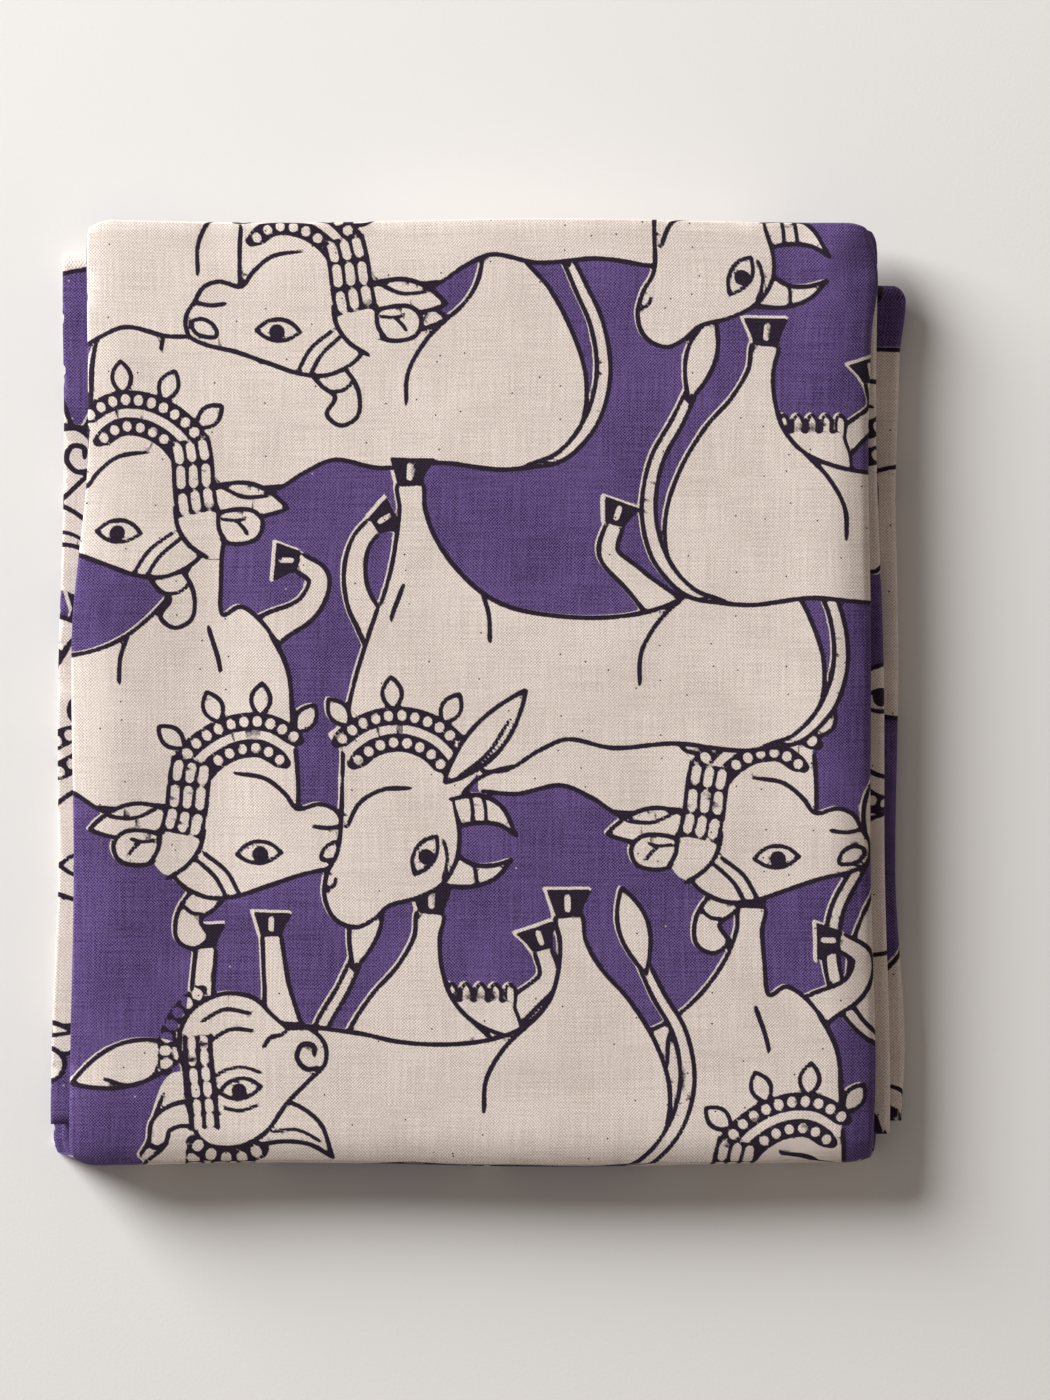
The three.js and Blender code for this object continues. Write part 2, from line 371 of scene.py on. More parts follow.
class Press:
    def __init__(self, points):
        self.p = np.asarray(points, float)
        self.ink = np.full(len(self.p), REACH)
        self.ground = np.full(len(self.p), REACH)
        self.place(0.0, 0.0)

    def place(self, x, y, mirror=False):
        self.flip = np.array([-1.0 if mirror else 1.0, 1.0])
        self.at = np.array([x, y], float)

    def put(self, points):
        return np.asarray(points, float) * self.flip + self.at

    def near(self, q, reach):
        low, high = q.min(0) - reach, q.max(0) + reach
        return np.nonzero(((self.p >= low) & (self.p <= high)).all(1))[0]

    def distance(self, q, idx, radius=None):
        p = self.p[idx]
        best = np.full(len(idx), 1e9)
        r = np.zeros(len(q)) if radius is None else radius
        for first in range(0, len(q) - 1, PIECES_AT_ONCE):
            part = q[first:first + PIECES_AT_ONCE + 1]
            reach = REACH + r[first:first + PIECES_AT_ONCE + 1].max()
            near = np.nonzero(((p >= part.min(0) - reach) & (p <= part.max(0) + reach)).all(1))[0]
            if not len(near):
                continue
            a, ab = part[:-1], np.diff(part, axis=0)
            ap = p[near][:, None] - a
            t = np.clip((ap * ab).sum(-1) / np.maximum((ab * ab).sum(-1), 1e-9), 0, 1)
            ra, rb = r[first:first + len(part) - 1], r[first + 1:first + len(part)]
            d = np.hypot(ap[..., 0] - t * ab[:, 0], ap[..., 1] - t * ab[:, 1]) - (ra + t * (rb - ra))
            best[near] = np.minimum(best[near], d.min(1))
        return best

    def signed(self, q, idx):
        q = np.vstack([q, q[:1]])
        d, p = self.distance(q, idx), self.p[idx]
        inside = np.zeros(len(idx), bool)
        for a, b in zip(q[:-1], q[1:]):
            if a[1] == b[1]:
                continue
            between = (a[1] > p[:, 1]) != (b[1] > p[:, 1])
            inside ^= between & (p[:, 0] < a[0] + (p[:, 1] - a[1]) / (b[1] - a[1]) * (b[0] - a[0]))
        return np.clip(np.where(inside, -d, d), -REACH, REACH)

    def fill(self, outline):
        q = self.put(outline)
        idx = self.near(q, REACH)
        if len(idx):
            self.ink[idx] = np.maximum(self.ink[idx], -self.signed(q, idx))
        q = q + VIOLET_SLIP
        idx = self.near(q, REACH)
        if len(idx):
            self.ground[idx] = np.minimum(self.ground[idx], self.signed(q, idx) - VIOLET_SHY)

    def line(self, path, width=LINE, start=0.7, end=0.7):
        q = self.put(path)
        idx = self.near(q, REACH + width)
        if len(idx):
            t = np.linspace(0, 1, len(q))
            thin = np.minimum(start + t * LINE_TAPER, end + (1 - t) * LINE_TAPER)
            r = width / 2 * np.minimum(1, thin)
            self.ink[idx] = np.minimum(self.ink[idx], self.distance(q, idx, r))

    def solid(self, outline):
        q = self.put(outline)
        idx = self.near(q, REACH)
        if len(idx):
            self.ink[idx] = np.minimum(self.ink[idx], self.signed(q, idx))

    def pale(self, path, radius):
        q = self.put(path)
        idx = self.near(q, REACH + radius)
        if len(idx):
            r = np.full(len(q), radius)
            self.ink[idx] = np.maximum(self.ink[idx], -self.distance(q, idx, r))

    def shape(self, outline, width=LINE):
        self.fill(outline)
        self.line(np.vstack([outline, outline[:2]]), width, 1, 1)


print("printed line in mm:", LINE, "violet slips by", VIOLET_SLIP)

# %% [markdown]
# ## Small forms of the block
#
# The blocks share a few forms: pointed leaves for ears, petals and tail tufts, limbs that taper, hooves
# with a pale chip, almond eyes, strips of beads, and necklaces of two bead rows with petals.

# %% Leaves, limbs, hooves and eyes
LEAF_POINTS, LEAF_BELLY = 24, 0.85


def leaf(press, base, tip, left, right, width=LINE, skew=1.0):
    base, tip = np.asarray(base, float), np.asarray(tip, float)
    share = np.linspace(0, 1, LEAF_POINTS)[:, None]
    n = np.array([-(tip - base)[1], (tip - base)[0]]) / np.linalg.norm(tip - base)
    belly = np.sin(np.pi * share) ** LEAF_BELLY
    spine = base + share ** skew * (tip - base)
    press.shape(np.vstack([spine + left * belly * n, (spine - right * belly * n)[::-1]]), width)


def limb(press, points, widths):
    c = curve(points)
    w = np.interp(np.linspace(0, 1, len(c)), np.linspace(0, 1, len(widths)), widths)[:, None] / 2
    n = side_way(c)
    press.fill(np.vstack([c + n * w, (c - n * w)[::-1]]))
    press.line(c + n * w)
    press.line(c - n * w)
    return c[-1]


HOOF = [(-.5, -.06), (-.64, .4), (-1.0, 1.04), (-.1, 1.1), (.96, 1.2), (.68, .45), (.5, -.06)]
HOOF_LEAN, HOOF_CHIP = -0.1, 0.13


def hoof(press, at, way, width):
    way = np.asarray(way, float) / np.linalg.norm(way)
    n = np.array([-way[1], way[0]])

    def q(s, d):
        return np.asarray(at, float) + n * s * width + way * d * width + n * HOOF_LEAN * d * width

    outline = [q(s, d) for s, d in HOOF]
    press.fill(outline)
    press.solid(outline)
    press.pale([q(.04, .3), q(.06, .8)], HOOF_CHIP * width)


EYE_UPPER = [(-1, -.05), (-.5, .38), (.1, .5), (.6, .34), (1, 0)]
EYE_LOWER = [(1, 0), (.5, -.34), (0, -.46), (-.5, -.36), (-1, -.05)]
EYE_STEP = 0.12
PUPIL = dict(x=-0.05, y=-0.08, radius=0.36, points=20)


def eye(press, at, turn, size):
    c, s = math.cos(math.radians(turn)), math.sin(math.radians(turn))

    def q(points):
        return np.asarray(points, float) * size @ np.array([[c, s], [-s, c]]) + at

    lids = np.vstack([curve(EYE_UPPER, step=EYE_STEP), curve(EYE_LOWER, step=EYE_STEP)])
    press.shape(q(lids), LINE * .9)
    pupil = [(math.cos(a) * PUPIL["radius"] + PUPIL["x"], math.sin(a) * PUPIL["radius"] + PUPIL["y"])
             for a in np.linspace(0, 2 * math.pi, PUPIL["points"])]
    press.solid(q(pupil))


print("points of a leaf:", 2 * LEAF_POINTS, "of a hoof:", len(HOOF), "of a pupil:", PUPIL["points"])


# %% Beads, necklaces and straps
def beads(press, path, strip, radius, pitch, length):
    press.line(path, strip, .62, .62)
    at, n = lengths_along(path), side_way(path)
    count = max(1, int(round(at[-1] / pitch)))
    for k in range(count):
        u = (k + .5) / count * at[-1]
        c = np.array([np.interp(u, at, path[:, 0]), np.interp(u, at, path[:, 1])])
        m = np.array([np.interp(u, at, n[:, 0]), np.interp(u, at, n[:, 1])])
        press.pale([c - m * length / 2, c + m * length / 2 + 1e-6], radius)


ROW = 4.7
PETAL = dict(start=2.0, end=13.5, half=3.4)
NECK_BEADS = dict(strip=6.5, radius=1.6, pitch=4.7)


def necklace(press, points, petals):
    c = curve(points)
    n = side_way(c)
    press.fill(np.vstack([c + n * (ROW + 3), (c - n * (ROW + 3))[::-1]]))
    share = np.linspace(0, 1, len(c))
    for t in petals:
        k = int(np.argmin(abs(share - t)))
        base, tip = c[k] + n[k] * (ROW + PETAL["start"]), c[k] + n[k] * (ROW + PETAL["end"])
        leaf(press, base, tip, PETAL["half"], PETAL["half"], LINE * .95)
    beads(press, c + n * ROW, **NECK_BEADS, length=.6)
    beads(press, c - n * ROW, **NECK_BEADS, length=.4)


def bead_strap(press, points, columns=3, rows=3, half=7.0, gap=4.5, radius=1.55):
    c = curve(points)
    n = side_way(c)
    block = np.vstack([c + n * half, (c - n * half)[::-1]])
    press.fill(block)
    press.solid(block)
    ends = np.linspace(0, len(c) - 1, rows + 1)
    for a, b in zip(ends[:-1], ends[1:]):
        i, j = int(round(a + .26 * (b - a))), int(round(a + .74 * (b - a)))
        for k in range(columns):
            o = gap * (k - (columns - 1) / 2)
            press.pale([c[i] + n[i] * o, c[j] + n[j] * o + 1e-6], radius)
    press.line(c + n * half, LINE * .8, 1, 1)
    press.line(c - n * half, LINE * .8, 1, 1)


print("bead rows lie", ROW, "mm to each side of a necklace's middle")


# %% [markdown]
# ## The cow blocks
#
# Cows with necklaces are a common kalamkari motif. These are drawn for this lesson, in millimetres
# about the middle of the body and with the feet up, as they lie on the folded face. One body serves
# all of them. The heads differ: a plain one with banded horns, a bridled one and one that looks back.

# %% Body, legs and udder
FAR_HIND_LEG = dict(points=[(28, 22), (15, 34), (6, 43), (8, 53)], widths=[13, 9, 7, 6], way=(.25, 1))
FAR_LEGS = dict(
    plain=[dict(points=[(-70, 12), (-80, 24), (-83.5, 36), (-82, 47), (-77.5, 53)],
                widths=[18, 10, 8, 7, 6.4], way=(.8, .55)), FAR_HIND_LEG],
    bridled=[dict(points=[(-70, 18), (-88, 31), (-101, 39), (-104, 49), (-96, 55)],
                  widths=[22, 14, 9.5, 7.5, 6], way=(1, .08)), FAR_HIND_LEG],
    turned=[dict(points=[(-80, 20), (-81, 36), (-80, 54)], widths=[10, 7.5, 7], way=(-.1, 1)),
            dict(points=[(-52, 22), (-55, 40), (-57, 58)], widths=[14, 8.5, 6.5], way=(-.05, 1))],
)


FAR_HOOF, NEAR_HOOF = 7.2, 8.4


def far_legs(press, kind):
    for row in FAR_LEGS[kind]:
        foot = limb(press, row["points"], row["widths"])
        hoof(press, foot, row["way"], FAR_HOOF)


TEATS, TEAT_PITCH, FIRST_TEAT = 5, 5.1, -10.5


def udder(press, at):
    points = [(-15, -10), (-14, 0), (-12, 6)]
    for k in range(TEATS):
        a = FIRST_TEAT + k * TEAT_PITCH
        points += [(a - 1.8, 8), (a - 1.6, 12), (a, 13.8), (a + 1.6, 12), (a + 1.8, 8)]
    points += [(13, 6), (16, 0), (16, -10)]
    bag = curve(np.asarray(points, float) + at, step=.6)
    press.fill(bag)
    press.line(bag, LINE * .8)


FLAT_CHEST = [(-84, -16), (-81, 2), (-77, 16), (-73.5, 26)]
FULL_CHEST = [(-92, -16), (-95.5, 2), (-94, 17), (-87, 31), (-77, 39)]
CHEST = dict(plain=FLAT_CHEST, bridled=FULL_CHEST, turned=FLAT_CHEST)
FORE_LEG = [(-71, 36), (-69.5, 48), (-69, 59), (-70, 67), (-61.5, 67.5), (-60, 59), (-56, 49),
            (-48, 38), (-38, 29)]
BELLY = [(-28, 24), (-12, 21), (6, 20.5), (22, 23)]
HIND_LEG = [(33, 28), (40, 36), (43.5, 47), (44, 57), (42.8, 65), (51.5, 66), (53, 57), (58.5, 47),
            (68, 36)]
RUMP = [(77, 21), (82, 4), (80, -12), (71, -22.5), (54, -26)]
BACK = [(30, -23.5), (8, -25), (-8, -22), (-18, -26), (-30, -33), (-42, -32.5)]
TAIL = [(60, -25.2), (73, -21.5), (83.5, -10), (88, 6), (85.5, 24), (78, 38), (73, 49)]
TAIL_WIDTHS = [.6, 3.6, 5, 5, 4.6, 4.2, 3.8]
MUSCLES = [[(-66, 32), (-70, 19), (-71, 7), (-69, -4)], [(-38, 29), (-35.5, 21), (-35, 12)],
           [(33, 28), (24, 19), (18, 8), (17.5, -3)]]


def body(press, kind, with_udder):
    fore_leg = kind != "turned"
    if with_udder:
        udder(press, (30, 27))
    outline = curve(CHEST[kind] + (FORE_LEG if fore_leg else []) + BELLY + HIND_LEG + RUMP + BACK)
    press.fill(outline)
    press.line(outline)
    for points in MUSCLES[0 if fore_leg else 2:]:
        press.line(curve(points))
    if fore_leg:
        hoof(press, (-65.7, 67), (-0.05, 1), NEAR_HOOF)
    hoof(press, (47.2, 65.3), (-0.08, 1), NEAR_HOOF)
    limb(press, TAIL, TAIL_WIDTHS)
    leaf(press, (74, 45), (66, 75), 5.0, 5.6, skew=.9)


def fore_half(press):
    back = curve([(20, -24)] + BACK[1:])
    belly = curve([(-73.5, 26), (-50, 25), (-28, 24), (-12, 21), (20, 22)])
    press.fill(np.vstack([back, belly]))
    press.line(back)
    press.line(belly)


print("kinds of cow:", sorted(CHEST), "teats:", TEATS)


# %% The plain head
THROAT = [(-74, 26), (-78, 13), (-82.5, -2), (-86, -19), (-87, -36)]
PLAIN_NAPE = [(-47, -44), (-42, -38), (-38, -30), (-46, -14), (-62, 6)]
PLAIN_FACE = [(-87, -36), (-87.5, -50), (-89, -62), (-92.5, -69), (-93.5, -77), (-90, -85), (-82.5, -88),
              (-76, -85), (-71, -80.5), (-61, -77.5), (-52, -72.5), (-47, -64), (-46, -54), (-48, -44)]
HORNS = [
    dict(upper=[(-49, -43), (-39, -41.5), (-31, -45.5), (-26, -55.5)],
         lower=[(-26, -55.5), (-32, -51.8), (-40, -51.2), (-49, -53)],
         bands=[(-42, -42, -41.5, -51.4), (-37.5, -41.8, -36.5, -51.4)]),
    dict(upper=[(-49, -61), (-41.5, -65.5), (-34.5, -66), (-27.5, -64)],
         lower=[(-27.5, -64), (-33.5, -70.5), (-42, -73.4), (-53, -73)],
         bands=[(-41, -65.4, -40, -73)]),
]
CHEEK = [(-85.5, -53), (-81, -44.5), (-73, -39.8), (-63, -39.2)]


def plain_head(press):
    throat, face = curve(THROAT), curve(PLAIN_FACE)
    press.fill(np.vstack([throat, curve(PLAIN_NAPE)]))
    press.line(throat)
    press.line(curve([(-26, -31.2), (-36, -34), (-43, -39), (-47, -46)]))
    necklace(press, [(-86, -27), (-77, -20.5), (-66, -18.5), (-55, -22), (-47.5, -29)], [.16, .46, .77])
    for horn in HORNS:
        press.shape(np.vstack([curve(horn["upper"]), curve(horn["lower"])]))
        for x0, y0, x1, y1 in horn["bands"]:
            press.line(curve([(x0, y0), (x0 + .8, (y0 + y1) / 2), (x1, y1)]), LINE * .85)
    press.fill(face)
    press.line(face)
    press.line(curve(CHEEK))
    eye(press, (-58, -62.5), 58, 7.8)
    press.line(curve([(-51.8, -71), (-50.3, -64), (-51.5, -57)]), LINE * .85)
    press.line(curve([(-93.3, -75), (-90.2, -73.4), (-89.2, -70.5)]), LINE * .9)
    leaf(press, (-51, -37), (-22.5, -5), 5.0, 7.0, skew=1.05)
    press.line(curve([(-47, -36), (-36, -27), (-28, -15)]), LINE * .9)


print("horns of the plain head:", len(HORNS))


# %% The bridled head
POLL = np.array([-78.0, -40.0])
BRIDLED_PROFILE = [(-15, 13), (-19, 8), (-27, 9.6), (-32.5, 7.5), (-35.5, 2.5), (-38.5, -3),
                   (-37.5, -9.5), (-32, -12.5), (-21, -15), (-9, -19), (3, -22.8), (13, -23),
                   (23, -17.5), (27.5, -9)]
BUD = [(-8, 4), (-2, 6), (5, 5.5), (8.5, 1.5), (7, -4), (1, -6), (-5, -5), (-8, -.5)]
CURLED_HORN = [(6, -21), (10, -27), (15, -31), (12, -37), (17, -41), (23, -38), (23.5, -30),
               (20, -23), (15, -19)]
NOSTRIL = [(-36.5, -5), (-33, -3.6), (-28.5, -6), (-27.5, -9.6), (-31, -10), (-35, -8.6)]
BOW = [(14.2, -1), (16.5, -4.5), (18.5, -.5), (21, -4.5), (23.5, -.5), (26, -4), (29, 0), (31, -9),
       (26, -15), (18, -11)]


def bridled_head(press):
    def f(points, closed=False, step=.9):
        return curve(np.asarray(points, float) + POLL, closed, step)

    throat = np.array([(-18, 34), (-19, 25), (-19.5, 16), (-19.5, 7)]) + POLL
    front = curve(np.vstack([CHEST["bridled"][3:0:-1], throat]))
    crest = np.array([(12, -6), (30, -2), (38, 8)]) + POLL
    nape = curve(np.vstack([crest, [(-38, -32), (-40, -16), (-60, 6)]]))
    press.fill(np.vstack([front, nape]))
    press.line(front)
    press.line(curve([(-26, -31.2), (-36, -31.8), (-46, -30.5), (-55, -32)]))
    chain = np.array([(-17.5, 28), (-8, 33.5), (3, 33), (13, 27.5), (20, 19)]) + POLL
    necklace(press, chain, [.06, .3, .55, .82])
    leaf(press, POLL + (21, 4), POLL + (54, 1), 7.5, 4.6)
    press.line(f([(29, 9), (38, 5), (47, 5.5)]), LINE * .9)
    bud = POLL + (37, -5.5)
    press.shape(curve(bud + BUD, True, .7))
    press.line(curve(bud + [(-6, 2.6), (-1, 2.2), (2.6, 3.2)], step=.6), LINE * .85)
    press.line(curve(bud + [(-1, 2.2), (2, -.6), (3.4, -2.6)], step=.6), LINE * .85)
    press.shape(f(CURLED_HORN, True))
    press.line(f([(14, -29), (18, -28.5), (22, -25)]), LINE * .85)
    press.fill(f(BRIDLED_PROFILE + [(24, 4), (14, 13), (3, 19.5), (-8, 18)], True))
    press.line(f([(3, 20.5), (-8, 18.5)] + BRIDLED_PROFILE))
    press.line(f([(-36, 2.2), (-30, 1.2), (-24.5, 1.8)]), LINE * .95)
    press.shape(f(NOSTRIL, True, .6), LINE * .95)
    eye(press, POLL + (-5.5, -7.5), -4, 8.0)
    press.line(f([(1.5, -22), (6, -14), (14, -7.5)]), LINE * .95)
    press.line(f([(6, -23), (10, -16), (17, -9.5)]), LINE * .95)
    bead_strap(press, np.array([(17.5, 25), (19, 17), (20, 8), (22, -1)]) + POLL)
    press.fill(f(BOW, True, .6))
    press.line(f([(13.6, 1), (15.5, -6), (20, -12), (27, -16.5)]))
    press.line(f([(29.3, 1), (30, -6), (33, -11)]))


print("points of the bridled profile:", len(BRIDLED_PROFILE))


# %% The head that looks back
BROW = np.array([-72.0, 9.0])
TURNED_FACE = [(-15, 2), (-17, 13), (-12.5, 23), (-2, 28.5), (9, 27), (16, 20.5), (21.5, 16.5),
               (28, 16.5), (33.8, 11), (34, 4), (28.5, -2), (21, -10), (13.5, -20.5), (3, -25.5),
               (-8, -23.5), (-13, -12)]
TURNED_NECK = [(-18, 0), (-25, -14), (-28, -34), (-27, -60), (14, -64), (19, -40), (20, -18), (8, -8)]
FACE_LINES = [
    dict(points=[(32, 2.5), (27.5, 2.0), (24.2, 6), (26, 10.6), (30, 10.2), (30.2, 6.8)], weight=1.1),
    dict(points=[(12.5, 9.5), (15, 13.2), (18.6, 14), (21.5, 16.5)], weight=.95),
    dict(points=[(-9, 19), (-1, 23), (8, 21.5)], weight=.95),
    dict(points=[(-6, 12), (1, 16), (9, 15.5)], weight=.95),
    dict(points=[(-5, -1), (0, 2.0), (6, 2.6), (12, .6)], weight=.8),
    dict(points=[(-1, -11.5), (5, -12.6), (11, -10.6)], weight=.85),
]


def turned_head(press):
    def f(points, closed=False, step=.9):
        return curve(np.asarray(points, float) + BROW, closed, step)

    press.fill(f(TURNED_NECK, True))
    press.line(f([(-22, -6), (-26, -18), (-28.5, -36), (-28, -58)]))
    for column in (-11.5, -2.5, 6.5):
        beads(press, f([(column, -26), (column + .8, -40), (column + .2, -62)]), 6.6, 1.9, 5.6, 1.0)
    leaf(press, BROW + (-13, 9), BROW + (-54, -2), 6.4, 8.8)
    press.line(f([(-43, -.5), (-34, -3), (-26, 0), (-23, 7)]), LINE * .9)
    limb(press, np.array([(-6, -15), (-16, -13.5), (-22.5, -17), (-24, -23), (-29, -29)]) + BROW,
         [8, 8.5, 7.5, 6, 3])
    press.line(f([(-27.5, -23.5), (-24, -25.2), (-20.5, -23.5)]), LINE * 1.2)
    press.shape(np.vstack([f([(14, -8), (25, -11), (33, -17.5), (37, -29)]),
                           f([(37, -29), (29, -24.5), (20, -23.5), (10, -25)])]))
    press.line(f([(16, -20), (25, -19.5), (33, -23.5)]), LINE * .8)
    press.shape(f(TURNED_FACE, True))
    eye(press, BROW + (4.5, -5), 6, 7.4)
    for row in FACE_LINES:
        press.line(f(row["points"], step=.6), LINE * row["weight"])
    strap = np.array([(-10.5, 14), (-10, 4), (-8.5, -8), (-7.5, -19)]) + BROW
    bead_strap(press, strap, columns=2, rows=6, half=4.7, gap=4.2, radius=1.35)
    beads(press, f([(-21, 2), (-21.5, 12), (-17.5, 22), (-9, 30)]), 5.6, 1.8, 5, .6)
    beads(press, f([(-12, -23), (-5, -28), (4, -29.5), (13, -26)]), 6.4, 1.8, 5.2, .8)


print("lines in the turned face:", len(FACE_LINES))


# %% [markdown]
# ## The layout
#
# The cows are tossed over one another, the later rows of the table on top of the earlier ones. The
# table's places are on the upper face of the packet, in millimetres from its middle. The whole
# toss is repeated along the cloth, so that the print goes on round the spine and over the hidden runs.

# %% Where the cows lie
HEADS = dict(plain=plain_head, bridled=bridled_head, turned=turned_head)
TOSS = [
    dict(head="plain", x=214, y=-100, mirror=True, whole=True, udder=False),
    dict(head="bridled", x=33, y=-142, mirror=True, whole=True, udder=True),
    dict(head="turned", x=-13, y=-143, mirror=False, whole=True, udder=False),
    dict(head="bridled", x=-158, y=-8.5, mirror=True, whole=True, udder=False),
    dict(head="bridled", x=24, y=-10, mirror=True, whole=False, udder=False),
    dict(head="bridled", x=-43, y=104, mirror=False, whole=True, udder=False),
    dict(head="plain", x=42, y=6, mirror=False, whole=True, udder=False),
    dict(head="plain", x=150, y=57, mirror=True, whole=True, udder=True),
    dict(head="plain", x=-118, y=150, mirror=False, whole=True, udder=False),
    dict(head="bridled", x=12, y=175, mirror=False, whole=True, udder=True),
    dict(head="plain", x=150, y=209, mirror=False, whole=True, udder=False),
]
REPEATS = [dict(x=36, y=400), dict(x=-60, y=-846), dict(x=-78, y=-450), dict(x=0, y=0)]


def print_cows(press):
    for repeat in REPEATS:
        for row in TOSS:
            press.place(row["x"] + repeat["x"], row["y"] + repeat["y"], row["mirror"])
            if row["whole"]:
                far_legs(press, row["head"])
                body(press, row["head"], row["udder"])
            else:
                fore_half(press)
            HEADS[row["head"]](press)


print("cows in one toss:", len(TOSS), "repeats:", len(REPEATS))

# %% [markdown]
# ## Sample points on the flat cloth
#
# A regular grid fine enough for the lines would have over a million points. Most of the cloth is hidden
# inside the packet, and most of what shows is plain, so points are spent only where they count: rows
# on every fold, a close grid where the edge of a printed line passes and shows, and wide steps
# everywhere else. All of them are crossings of two lists of levels, across and along the cloth.

# %% Levels across and along
FINE = 1.0
WIDE = 24.0
EDGE_STEP, UNSEEN_STEP, EDGE_REACH = 3.0, 6.0, 20.0
MIDDLE_STRIDE = 4
FOLD_ROWS = {"inner fold": 6, "left fold": 10, "right fold": 14,
             "upper lip": 18, "spine": 38, "lower lip": 18}
UNSEEN = ("inner layer", "second layer")


def levels(spans, graded, edge_step):
    at, wide, middle = [0.0], [True], [True]
    for name, (start, end) in spans.items():
        bend = name in FOLD_ROWS
        step = UNSEEN_STEP if name in UNSEEN else FINE
        count = FOLD_ROWS.get(name) or max(1, round((end - start) / step))
        pitch = (end - start) / count
        wide_stride = 2 if bend else max(1, round(WIDE / pitch))
        edge_stride = 2 if bend else max(1, round(edge_step / pitch))
        for i in range(1, count + 1):
            near_end = name in graded and min(i, count - i) * pitch < EDGE_REACH
            at.append(start + pitch * i)
            wide.append(i % (edge_stride if near_end else wide_stride) == 0 or i == count)
            middle.append(bend or i % MIDDLE_STRIDE == 0 or i == count)
    return np.array(at), np.array(wide), np.array(middle)


NEAR_SPINE = ("upper inner run", "top run, end", "bottom run, start", "lower inner run, end")
u_at, u_wide, u_middle = levels(U_SPAN, U_SPAN, EDGE_STEP)
v_at, v_wide, v_middle = levels(V_SPAN, NEAR_SPINE, UNSEEN_STEP)
print("levels across:", len(u_at), "along:", len(v_at))

# %% Which crossings are kept
TOP_START = V_SPAN["top run, corner bulge"][0]
LEFT_FOLD, RIGHT_FOLD = U_SPAN["left fold"], U_SPAN["right fold"]
OUTSIDE = (LEFT_FOLD[0], RIGHT_FOLD[1])
LOWER_LIP = V_SPAN["lower lip"]
SHOWN = [
    dict(name="top face", u=(LEFT_FOLD[0], RIGHT_FOLD[1] + 4),
         v=(TOP_START - 12, V_SPAN["spine"][1] + 8), stride=1),
    dict(name="right edges", u=(RIGHT_FOLD[0] - 20, RIGHT_FOLD[1] + 14),
         v=(6, CLOTH_LENGTH - 6), stride=1),
    dict(name="left edges", u=(LEFT_FOLD[0], LEFT_FOLD[1] + 16),
         v=(6, CLOTH_LENGTH - 6), stride=1),
    dict(name="lower lip", u=OUTSIDE, v=(LOWER_LIP[0] - 4, LOWER_LIP[1] + 4), stride=1),
    dict(name="underside", u=OUTSIDE,
         v=(V_SPAN["bottom run, start"][0], V_SPAN["bottom run"][1]), stride=2),
]


def shown_crossings(stride_u, stride_v):
    shown = np.zeros((len(u_at), len(v_at)), bool)
    for row in SHOWN:
        u_in = (u_at >= row["u"][0]) & (u_at <= row["u"][1])
        v_in = (v_at >= row["v"][0]) & (v_at <= row["v"][1])
        if stride_u is None:
            u_in &= (np.arange(len(u_at)) % row["stride"] == 0)
            v_in &= (np.arange(len(v_at)) % row["stride"] == 0)
        else:
            u_in &= stride_u & (row["stride"] == 1)
            v_in &= stride_v
        shown |= u_in[:, None] & v_in[None, :]
    return shown


plain_cross = u_wide[:, None] & v_wide[None, :]
middle_cross = shown_crossings(u_middle, v_middle)
print_cross = shown_crossings(None, None) | plain_cross | middle_cross
print("crossings to print:", int(print_cross.sum()))

# %% Print the cloth and keep the points along its edges
FACE_SHIFT = 0.25
FACE_MIDDLE_U = sum(U_SPAN["printed layer"]) / 2 + FACE_SHIFT
FACE_MIDDLE_V = TOP_START + UPPER_LIP_Y
LINE_CORE, LINE_RIM, GROUND_RIM = -0.97, 0.75, 0.62

iu, iv = np.nonzero(print_cross)
press = Press(np.stack([u_at[iu] - FACE_MIDDLE_U, FACE_MIDDLE_V - v_at[iv]], 1))
print_cows(press)
near_edge = ((press.ink > LINE_CORE) & (press.ink < LINE_RIM)) | (abs(press.ground) < GROUND_RIM)
kept = plain_cross[iu, iv] | middle_cross[iu, iv] | near_edge
iu, iv, ink, ground = iu[kept], iv[kept], press.ink[kept], press.ground[kept]
print("points on the printed side:", len(iu))

# %% [markdown]
# ## The flat cloth as a mesh
#
# The printed side is a Delaunay mesh of the kept points, which joins close and wide parts without
# gaps. The reverse side needs only the wide points. The two are joined by a narrow rim along
# the selvedges and cut ends, so the cloth is a closed, very thin slab.

# %% Both sides and the rim
SHOWN_THICKNESS = 0.9


def side_faces(points):
    made = delaunay_2d_cdt([Vector(p) for p in points], [], [], 0, 1e-5)
    origin = np.array([o[0] for o in made[3]])
    return origin[np.array(made[2])]


front_uv = np.stack([u_at[iu], v_at[iv]], 1)
front = side_faces(front_uv * (1, -1))
on_border = np.zeros(len(front_uv), bool)
for column, last in zip(front_uv.T, (u_at[-1], v_at[-1])):
    on_border |= (column == 0) | (column == last)
at_back = plain_cross[iu, iv] | on_border
back_uv = front_uv[at_back]
back = side_faces(back_uv * (1, -1))[:, ::-1] + len(front_uv)
partner = np.full(len(front_uv), -1)
partner[at_back] = np.arange(len(back_uv)) + len(front_uv)

edges = np.concatenate([front[:, [0, 1]], front[:, [1, 2]], front[:, [2, 0]]])
known = set(map(tuple, edges.tolist()))
border = [(a, b) for a, b in known if (b, a) not in known]
rim = [(b, a, int(partner[a]), int(partner[b])) for a, b in sorted(border)]
print("triangles:", len(front), "printed,", len(back), "reverse,", 2 * len(rim), "rim")

# %% [markdown]
# Two maps are laid on the cloth. The first is the cloth's own flat place, which the weave follows. The
# second spreads the parts that show over most of a square and squeezes the hidden ones, for
# tools that turn the finish into a picture.

# %% Build the flat cloth
PICTURE_WIDTH, BACK_STRIP, RIM_STRIP = .96, (.965, .985), (.99, 1.0)


